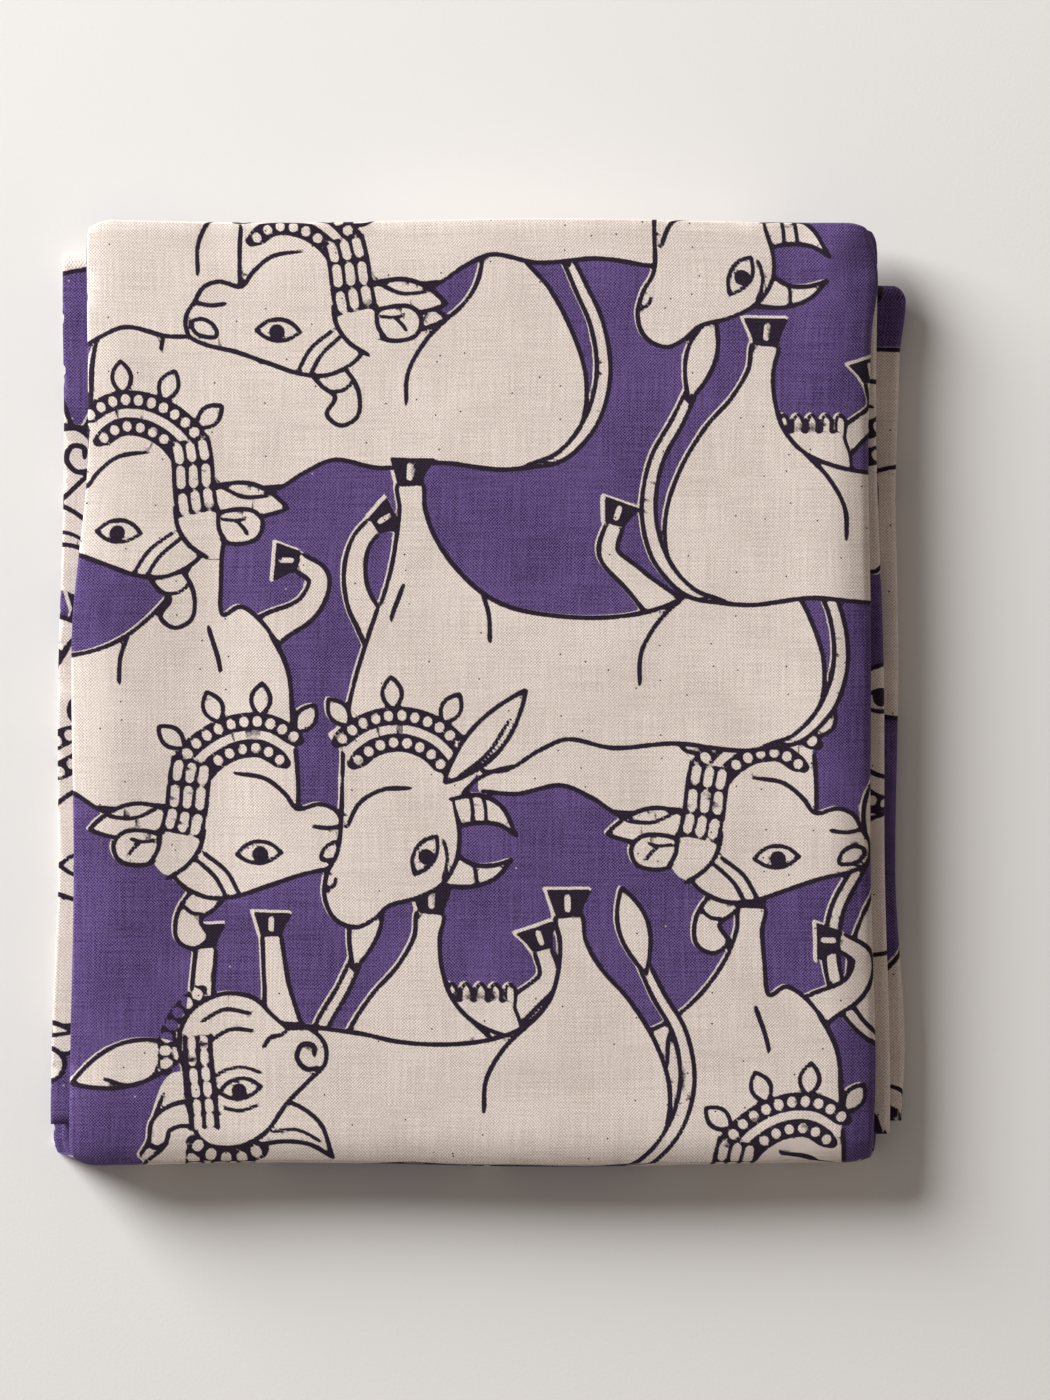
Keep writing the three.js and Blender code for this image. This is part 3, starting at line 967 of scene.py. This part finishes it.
def spread(values, spans, rows, total):
    shows = {row["name"]: row["show"] for row in rows}
    sizes = [(end - start) * shows.get(name, 1.0) for name, (start, end) in spans.items()]
    stops = [0.0] + [end for start, end in spans.values()]
    return np.interp(values, stops, np.concatenate([[0.0], np.cumsum(sizes)]) * total / sum(sizes))


def flat_cloth():
    uv = np.vstack([front_uv, back_uv])
    side = np.concatenate([np.ones(len(front_uv)), -np.ones(len(back_uv))])
    corners = np.column_stack([uv[:, 0], -uv[:, 1], side * SHOWN_THICKNESS / 2]) * MM
    mesh = bpy.data.meshes.new("flat_cloth")
    mesh.from_pydata(corners.tolist(), [], front.tolist() + back.tolist() + rim)
    for name, values, on_back in (("ink", ink, REACH), ("ground", ground, 0.0)):
        field = mesh.attributes.new(name, "FLOAT", "POINT")
        field.data.foreach_set("value", np.concatenate([values, np.full(len(back_uv), on_back)]))
    loops = np.concatenate([front.ravel(), back.ravel(), np.array(rim).ravel()])
    place = mesh.uv_layers.new(name="cloth")
    place.uv.foreach_set("vector", (uv[loops] * MM).astype(np.float32).ravel())
    s, t = spread(uv[:, 0], U_SPAN, LAYERS, PICTURE_WIDTH), spread(uv[:, 1], V_SPAN, STRIP, 1.0)
    behind = side < 0
    s[behind] = np.interp(uv[behind, 0], [0, CLOTH_WIDTH], BACK_STRIP)
    picture = np.stack([s, t], 1)[loops]
    turns = np.arange(len(rim))[:, None] + np.array([[1, 0, 0, 1]])
    picture[-4 * len(rim):, 0] = np.tile(np.array(RIM_STRIP)[[0, 0, 1, 1]], len(rim))
    picture[-4 * len(rim):, 1] = turns.ravel() / len(rim)
    baked = mesh.uv_layers.new(name="OFBake")
    baked.uv.foreach_set("vector", picture.astype(np.float32).ravel())
    mesh.polygons.foreach_set("use_smooth", np.ones(len(mesh.polygons), bool))
    return mesh


cloth_mesh = flat_cloth()
print("flat cloth:", len(cloth_mesh.vertices), "points")

# %% [markdown]
# ## Fold it with Geometry Nodes
#
# Folding follows a rule, so a node tree can do it. Every point of the flat cloth looks up two lines:
# its place across the cloth is a length along the first line, its place along the cloth is a length
# along the second. Sample Curve returns the values stored there and the way each line runs. The rest is
# arithmetic: the second line gives the place and the way out of the bend, and the first
# gives the distance from the middle of the strip. The two lines come in as meshes of edges.

# %% The two lines as meshes
def line_mesh(name, places, values_name, values):
    mesh = bpy.data.meshes.new(name)
    mesh.from_pydata((places * MM).tolist(), [(i, i + 1) for i in range(len(places) - 1)], [])
    field = mesh.attributes.new(values_name, "FLOAT_VECTOR", "POINT")
    field.data.foreach_set("vector", values.astype(np.float32).ravel())
    line = bpy.data.objects.new(name, mesh)
    bpy.context.collection.objects.link(line)
    return line


across_places = np.insert(across_xn, 1, 0.0, axis=1)
across_obj = line_mesh("line_across", across_places, "share_inset_height", across * (1, MM, MM))
along_places = np.insert(along[:, :2], 0, 0.0, axis=1)
along_obj = line_mesh("line_along", along_places, "left_right_slant", along[:, 2:] * (MM, MM, 1))
print("line points:", len(across), "and", len(along))

# %% The folding tree
def folding_tree():
    tree = bpy.data.node_groups.new("Fold cloth on two lines", "GeometryNodeTree")
    for name, kind in (("Flat cloth", "NodeSocketGeometry"), ("Line across", "NodeSocketObject"),
                       ("Line along", "NodeSocketObject"), ("Finish", "NodeSocketMaterial")):
        tree.interface.new_socket(name, in_out="INPUT", socket_type=kind)
    tree.interface.new_socket("Folded cloth", in_out="OUTPUT", socket_type="NodeSocketGeometry")
    given = add(tree, "NodeGroupInput").outputs
    vectors = {"data_type": "FLOAT_VECTOR"}

    def split(vector):
        return add(tree, "ShaderNodeSeparateXYZ", Vector=vector).outputs

    def look_up(line, name, length):
        shown = add(tree, "GeometryNodeObjectInfo", Object=line).outputs["Geometry"]
        path = add(tree, "GeometryNodeMeshToCurve", Mesh=shown).outputs[0]
        stored = add(tree, "GeometryNodeInputNamedAttribute", vectors, Name=name).outputs[0]
        found = add(tree, "GeometryNodeSampleCurve", {**vectors, "mode": "LENGTH"},
                    Curves=path, Value=stored, Length=length).outputs
        return [split(found[key]) for key in ("Value", "Position", "Tangent")]

    place = split(add(tree, "GeometryNodeInputPosition").outputs[0])
    length_along = calc(tree, "MULTIPLY", place["Y"], -1.0)
    value_a, _, way_a = look_up(given["Line across"], "share_inset_height", place["X"])
    value_b, at_b, way_b = look_up(given["Line along"], "left_right_slant", length_along)
    width = calc(tree, "SUBTRACT", value_b["Y"], value_b["X"])
    edge = calc(tree, "MULTIPLY_ADD", width, value_a["X"], calc(tree, "ADD", value_b["X"], value_a["Y"]))
    depth_x = calc(tree, "MULTIPLY", place["Z"], calc(tree, "MULTIPLY", way_a["Z"], -1.0))
    x = calc(tree, "ADD", edge, depth_x)
    out = calc(tree, "MULTIPLY_ADD", place["Z"], way_a["X"], value_a["Z"])
    slanted = calc(tree, "MULTIPLY_ADD", value_b["Z"], x, at_b["Y"])
    y = calc(tree, "MULTIPLY_ADD", out, way_b["Z"], slanted)
    z = calc(tree, "SUBTRACT", at_b["Z"], calc(tree, "MULTIPLY", out, way_b["Y"]))
    folded = add(tree, "ShaderNodeCombineXYZ", X=x, Y=y, Z=z).outputs[0]
    flat = given["Flat cloth"]
    moved = add(tree, "GeometryNodeSetPosition", Geometry=flat, Position=folded).outputs[0]
    real = add(tree, "GeometryNodeRealizeInstances", Geometry=moved).outputs[0]
    dressed = add(tree, "GeometryNodeSetMaterial", Geometry=real, Material=given["Finish"]).outputs[0]
    tree.links.new(dressed, add(tree, "NodeGroupOutput").inputs[0])
    return tree


fold_cloth = folding_tree()
print("folding nodes:", len(fold_cloth.nodes))


# %% [markdown]
# ## The cotton's finish
#
# Cream cotton in a plain weave, with threads about half a millimetre apart that stray a little and
# differ in tone. Where a thread lies on top it is paler, most of all in the violet. Part of that is the
# cloth's own colour, paler fibre on top and dye that reaches the hollows better. Part is painted light
# on the thread tops and painted shade in the hollows. The two stored distances are turned into ink and
# violet by a narrow step, with a little noise added so that the edges look pressed by a block. A few
# specks of dye lie on the cream, and a few bare specks in the violet.

# %% Colours and the weave
# Each pair runs from the dark to the pale end of one colour. Between them lie the threads' own random
# tone and painted thread shade: tops painted paler as if lit, hollows painted darker as if shaded.
CREAM_LOW, CREAM_HIGH = (0.48, 0.405, 0.363, 1.0), (0.93, 0.835, 0.778, 1.0)
VIOLET_LOW, VIOLET_HIGH = (0.005, 0.001, 0.02, 1.0), (0.2, 0.125, 0.36, 1.0)
INK_LOW, INK_HIGH = (0.010, 0.005, 0.0125, 1.0), (0.050, 0.029, 0.060, 1.0)
THREAD_PITCH = 0.55
THREAD_STRAY = 0.9
# Weights of what makes a spot paler: grain and tone are the threads' own colour, while crossing paints
# light on the thread tops and shade in the hollows.
TONE_AND_SHADE_WEIGHTS = dict(crossing=0.8, tone=0.9, grain=0.9, base=-0.8)
CLOUD = dict(scale=0.035, depth=0.35)
CREAM_SPECKS = dict(cell=9.0, size=0.3, share=0.3)
VIOLET_SPECKS = dict(cell=26.0, size=0.32, share=0.35)
GROUND_EDGE = dict(rag=0.35, wander=0.4, soft=0.14)
INK_EDGE = dict(rag=0.3, wander=0.3, soft=0.13)


def printed_cotton_finish():
    finish = bpy.data.materials.new("printed_cotton")
    finish.use_nodes = True
    tree = finish.node_tree
    shader = tree.nodes["Principled BSDF"]
    metres = add(tree, "ShaderNodeUVMap", {"uv_map": "cloth"}).outputs[0]
    in_mm = add(tree, "ShaderNodeVectorMath", {"operation": "SCALE"}, Vector=metres, Scale=1 / MM)
    mm = in_mm.outputs[0]

    def noise(scale, detail=2.0, stretch=(1, 1, 1)):
        place = add(tree, "ShaderNodeVectorMath", {"operation": "MULTIPLY"}, _0=mm, _1=stretch)
        made = add(tree, "ShaderNodeTexNoise", {"noise_dimensions": "2D"},
                   Vector=place.outputs[0], Scale=scale, Detail=detail)
        return made.outputs["Fac"]

    def step(value, low, high):
        return add(tree, "ShaderNodeMapRange", Value=value, From_Min=low, From_Max=high).outputs[0]

    def blend(share, first, second):
        made = add(tree, "ShaderNodeMix", {"data_type": "RGBA"}, Factor=share)
        for socket, value in ((made.inputs[6], first), (made.inputs[7], second)):
            if isinstance(value, bpy.types.NodeSocket):
                tree.links.new(value, socket)
            else:
                socket.default_value = value
        return made.outputs[2]

    def specks(cell, size, share):
        cells = add(tree, "ShaderNodeTexVoronoi", {"voronoi_dimensions": "2D"},
                    Vector=mm, Scale=1 / cell).outputs
        chosen = add(tree, "ShaderNodeSeparateColor", Color=cells["Color"]).outputs["Red"]
        spot = step(cells["Distance"], 1.3 * size / cell, 0.7 * size / cell)
        return calc(tree, "MULTIPLY", spot, step(chosen, share, share - 0.01))

    axes = add(tree, "ShaderNodeSeparateXYZ", Vector=mm).outputs

    def threads(axis, stray):
        strayed = calc(tree, "MULTIPLY_ADD", calc(tree, "SUBTRACT", stray, 0.5), THREAD_STRAY, axis)
        return calc(tree, "SINE", calc(tree, "MULTIPLY", strayed, math.pi / THREAD_PITCH))

    warp = threads(axes["X"], noise(1.0, 1.0, (0.05, 0.11, 1)))
    weft = threads(axes["Y"], noise(1.0, 1.0, (0.11, 0.05, 1)))
    crossing = step(calc(tree, "MULTIPLY", warp, weft), -0.6, 0.6)
    slub = add(tree, "ShaderNodeMix", {"data_type": "FLOAT"}, Factor=crossing).inputs
    tree.links.new(noise(1.0, 1.0, (1.7, 0.05, 1)), slub[2])
    tree.links.new(noise(1.0, 1.0, (0.05, 1.7, 1)), slub[3])
    tone = slub[0].node.outputs[0]
    grain = noise(1.5, 2.0)
    # The threads' own tone mixed with painted thread shade: tops paler as if lit, hollows darker as if
    # shaded.
    tone_and_thread_shade = TONE_AND_SHADE_WEIGHTS["base"]
    for name, value in (("grain", grain), ("tone", tone), ("crossing", crossing)):
        tone_and_thread_shade = calc(tree, "MULTIPLY_ADD", value, TONE_AND_SHADE_WEIGHTS[name], tone_and_thread_shade)
    ragged = calc(tree, "SUBTRACT", noise(0.95, 2.0), 0.5)
    drift = calc(tree, "SUBTRACT", noise(0.13, 1.0), 0.5)

    def printed(name, rag, wander, soft):
        stored = add(tree, "ShaderNodeAttribute", {"attribute_name": name}).outputs["Fac"]
        drifted = calc(tree, "MULTIPLY_ADD", drift, wander, stored)
        rough = calc(tree, "MULTIPLY_ADD", ragged, rag, drifted)
        return step(rough, soft, -soft)

    clouds = noise(CLOUD["scale"])
    lowered = calc(tree, "SUBTRACT", tone_and_thread_shade, CLOUD["depth"] / 2)
    cloudy_tone_and_shade = calc(tree, "MULTIPLY_ADD", clouds, CLOUD["depth"], lowered)
    # Cream, violet and ink each run from dark to pale with the threads' tone, the clouds and the painted
    # thread shade.
    cream = blend(step(cloudy_tone_and_shade, 0.0, 1.0), CREAM_LOW, CREAM_HIGH)
    violet = blend(step(cloudy_tone_and_shade, 0.0, 1.0), VIOLET_LOW, VIOLET_HIGH)
    dark = blend(step(tone_and_thread_shade, 0.3, 1.2), INK_LOW, INK_HIGH)
    cream = blend(specks(**CREAM_SPECKS), cream, VIOLET_LOW)
    violet = blend(specks(**VIOLET_SPECKS), violet, CREAM_LOW)
    ground = blend(printed("ground", **GROUND_EDGE), violet, cream)
    colour = blend(printed("ink", **INK_EDGE), ground, dark)
    tree.links.new(colour, shader.inputs["Base Color"])
    height = calc(tree, "MULTIPLY_ADD", tone, 0.5, calc(tree, "MULTIPLY", crossing, 0.5))
    bump = add(tree, "ShaderNodeBump", Height=height, Strength=0.4, Distance=0.00025)
    tree.links.new(bump.outputs["Normal"], shader.inputs["Normal"])
    shader.inputs["Roughness"].default_value = 0.92
    shader.inputs["Specular IOR Level"].default_value = 0.18
    shader.inputs["Sheen Weight"].default_value = 0.06
    shader.inputs["Sheen Roughness"].default_value = 0.5
    return finish


printed_cotton = printed_cotton_finish()
print("finish nodes:", len(printed_cotton.node_tree.nodes))

# %% Fold the cloth
def folded_mesh():
    flat = bpy.data.objects.new("flat_cloth", cloth_mesh)
    bpy.context.collection.objects.link(flat)
    cloth_mesh.materials.append(printed_cotton)
    folding = flat.modifiers.new("fold", "NODES")
    folding.node_group = fold_cloth
    given = {"Line across": across_obj, "Line along": along_obj, "Finish": printed_cotton}
    for item in fold_cloth.interface.items_tree:
        if item.name in given:
            folding[item.identifier] = given[item.name]
    graph = bpy.context.evaluated_depsgraph_get()
    mesh = bpy.data.meshes.new_from_object(
        flat.evaluated_get(graph), preserve_all_data_layers=True, depsgraph=graph)
    for spent in (flat, across_obj, along_obj):
        bpy.data.objects.remove(spent)
    return mesh


panel_mesh = folded_mesh()
panel_mesh.name = "kalamkari_cloth"
print("folded cloth:", len(panel_mesh.vertices), "points, maps:", [m.name for m in panel_mesh.uv_layers])

# %% [markdown]
# ## Let it settle
#
# ## Let it settle
#
# A packet folded by hand isn't a box. Its spine and its upper lip are pressed nearly flat, its top
# rounds down to the long folds and to the spine, its faces swell and sink, its folds stray from
# straight and its corners draw in. The first is a squeeze of the points past the end of the runs,
# and each of the others is one soft wave or slope added to the points. The underside stays flat on
# the floor. A cloth simulation would have to hold sixteen thin layers apart for the same small
# change, so the shape is given here.

# %% Round the top down to its long folds and its spine
HALF_WIDTH = 147.0
PACKET_HEIGHT = 24.1
ROLL_OFF = dict(
    left=dict(depth=1.4, reach=15.0),
    right=dict(depth=3.0, reach=15.0),
    spine=dict(depth=3.0, reach=12.0),
)
TOP_EDGES = dict(left_upper=-134.6, left_lower=-140.3, right=140.6, step_from=89.0, step_to=15.0)


def roll_off(x, y):
    share = (TOP_EDGES["step_from"] - y) / (TOP_EDGES["step_from"] - TOP_EDGES["step_to"])
    widening = TOP_EDGES["left_lower"] - TOP_EDGES["left_upper"]
    left = TOP_EDGES["left_upper"] + widening * ease(np.clip(share, 0, 1))
    inside = dict(left=x - left, right=TOP_EDGES["right"] - x, spine=y + HALF_LENGTH)
    drop = 0.0
    for edge, row in ROLL_OFF.items():
        drop = drop + row["depth"] * np.clip(1 - inside[edge] / row["reach"], 0, 1) ** 2
    return drop


print("roll-off 5 mm inside the right fold:", round(float(roll_off(135.6, 0.0)), 2), "mm")

# %% [markdown]
# The main creases are listed one by one, each as a soft ridge or trough: where its middle lies, which way
# it runs, how long and how wide it is, and how high it stands.

# %% The creases
CREASES = [
    dict(name="ridge inside the left fold", x=-125, y=-25, turn=91, length=270, width=9, height=0.6),
    dict(name="trough beside it", x=-92, y=-25, turn=89, length=250, width=18, height=-1.3),
    dict(name="pull from the left step", x=-122, y=62, turn=128, length=60, width=5, height=-0.45),
    dict(name="dent at the upper right corner", x=136, y=152, turn=38, length=34, width=5, height=-0.7),
    dict(name="puffed upper right corner", x=127, y=156, turn=35, length=40, width=6, height=0.8),
    dict(name="dent at the lower right corner", x=139, y=-148, turn=150, length=30, width=5, height=-0.6),
    dict(name="soft ridge inside the right fold", x=125, y=5, turn=90, length=300, width=14, height=1.0),
    dict(name="press line across", x=10, y=46, turn=1, length=190, width=9, height=-0.3),
    dict(name="soft hollow in the middle", x=55, y=-20, turn=72, length=120, width=19, height=-0.5),
    dict(name="soft swell low on the left", x=-35, y=-110, turn=12, length=130, width=14, height=0.4),
    dict(name="ripple above the spine", x=35, y=-138, turn=3, length=120, width=7, height=-0.4),
    dict(name="ripple near the upper lip", x=-45, y=150, turn=-2, length=120, width=6, height=0.35),
    dict(name="dent in the upper lip", x=-92, y=158, turn=80, length=26, width=7, height=-0.5),
]


def crease_height(x, y):
    total = np.zeros(len(x))
    for row in CREASES:
        c, s = math.cos(math.radians(row["turn"])), math.sin(math.radians(row["turn"]))
        run = (x - row["x"]) * c + (y - row["y"]) * s
        off = (y - row["y"]) * c - (x - row["x"]) * s
        fade = np.clip(1 - (2 * run / row["length"]) ** 2, 0, 1) ** 2
        total += row["height"] * fade * np.exp(-(off / row["width"]) ** 2)
    return total


print("creases:", len(CREASES))

# %% Settle the packet
CROWN_HEIGHT, CROWN_POWER = 1.0, 6
SWELL = dict(height=0.55, wave_x=215.0, wave_y=265.0, phase=0.9, phase_y=-0.4)
SIDE_WANDER = dict(height=0.55, wave=150.0, phase=1.1)
END_WANDER = dict(height=0.75, wave=190.0, phase=0.6)
CORNERS = [
    dict(name="upper left", side=-134.6, end=1, draw_x=1.0, draw_y=3.0),
    dict(name="upper right", side=140.6, end=1, draw_x=2.4, draw_y=2.2),
    dict(name="lower left", side=-141.0, end=-1, draw_x=2.0, draw_y=3.0),
    dict(name="lower right", side=140.6, end=-1, draw_x=1.0, draw_y=1.4),
]
CORNER_REACH = 10.0


def wave(turns, phase):
    return np.sin(2 * math.pi * turns + phase)


def press_ends(y):
    past_lip, past_spine = np.maximum(y - UPPER_LIP_Y, 0), np.minimum(y - SPINE_Y, 0)
    return y - (1 - PRESSED["lip"]) * past_lip - (1 - PRESSED["spine"]) * past_spine


def near_corner(inside):
    return np.clip(1 - np.maximum(inside, 0) / CORNER_REACH, 0, 1) ** 2


def draw_in(x, y):
    shift_x, shift_y = np.zeros(len(x)), np.zeros(len(y))
    for row in CORNERS:
        inside_x = abs(row["side"]) - np.sign(row["side"]) * x
        inside_y = HALF_LENGTH - row["end"] * y
        near = near_corner(inside_x) * near_corner(inside_y)
        shift_x -= np.sign(row["side"]) * row["draw_x"] * near
        shift_y -= row["end"] * row["draw_y"] * near
    return shift_x, shift_y


def settle(p):
    x, y, z = p.T
    y = press_ends(y)
    along_x, along_y = x / HALF_WIDTH, y / HALF_LENGTH
    rise = CROWN_HEIGHT * (1 - along_y ** CROWN_POWER) - roll_off(x, y) + crease_height(x, y)
    swell = SWELL["height"] * wave(x / SWELL["wave_x"] + y / SWELL["wave_y"], SWELL["phase"])
    rise += swell * wave(y / SWELL["wave_y"], SWELL["phase_y"] + math.pi / 2)
    shift_x, shift_y = draw_in(x, y)
    side_wave = wave(y / SIDE_WANDER["wave"], SIDE_WANDER["phase"])
    end_wave = wave(x / END_WANDER["wave"], END_WANDER["phase"])
    new_x = x + shift_x + SIDE_WANDER["height"] * along_x * side_wave
    new_y = y + shift_y + END_WANDER["height"] * along_y * end_wave
    return np.stack([new_x, new_y, z * (1 + rise / PACKET_HEIGHT)], 1)


def centre_and_drop(p):
    low, high = p.min(0), p.max(0)
    return p - np.array([(low[0] + high[0]) / 2, (low[1] + high[1]) / 2, low[2]])


places = np.empty(3 * len(panel_mesh.vertices))
panel_mesh.vertices.foreach_get("co", places)
settled = centre_and_drop(settle(places.reshape(-1, 3) / MM))
panel_mesh.vertices.foreach_set("co", (settled * MM).ravel())
panel_mesh.update()
print("settled packet in mm:", np.round(settled.max(0) - settled.min(0), 1))

# %% [markdown]
# ## The finished panel
#
# The finished cloth rides on the part's one body and stands for the imported solid.

# %% The panel
panel = bpy.data.objects.new("printed_cotton_panel", panel_mesh)
bpy.context.collection.objects.link(panel)
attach(panel, "root")
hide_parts("kalamkari_panel")
print("triangles:", sum(len(f.vertices) - 2 for f in panel_mesh.polygons))
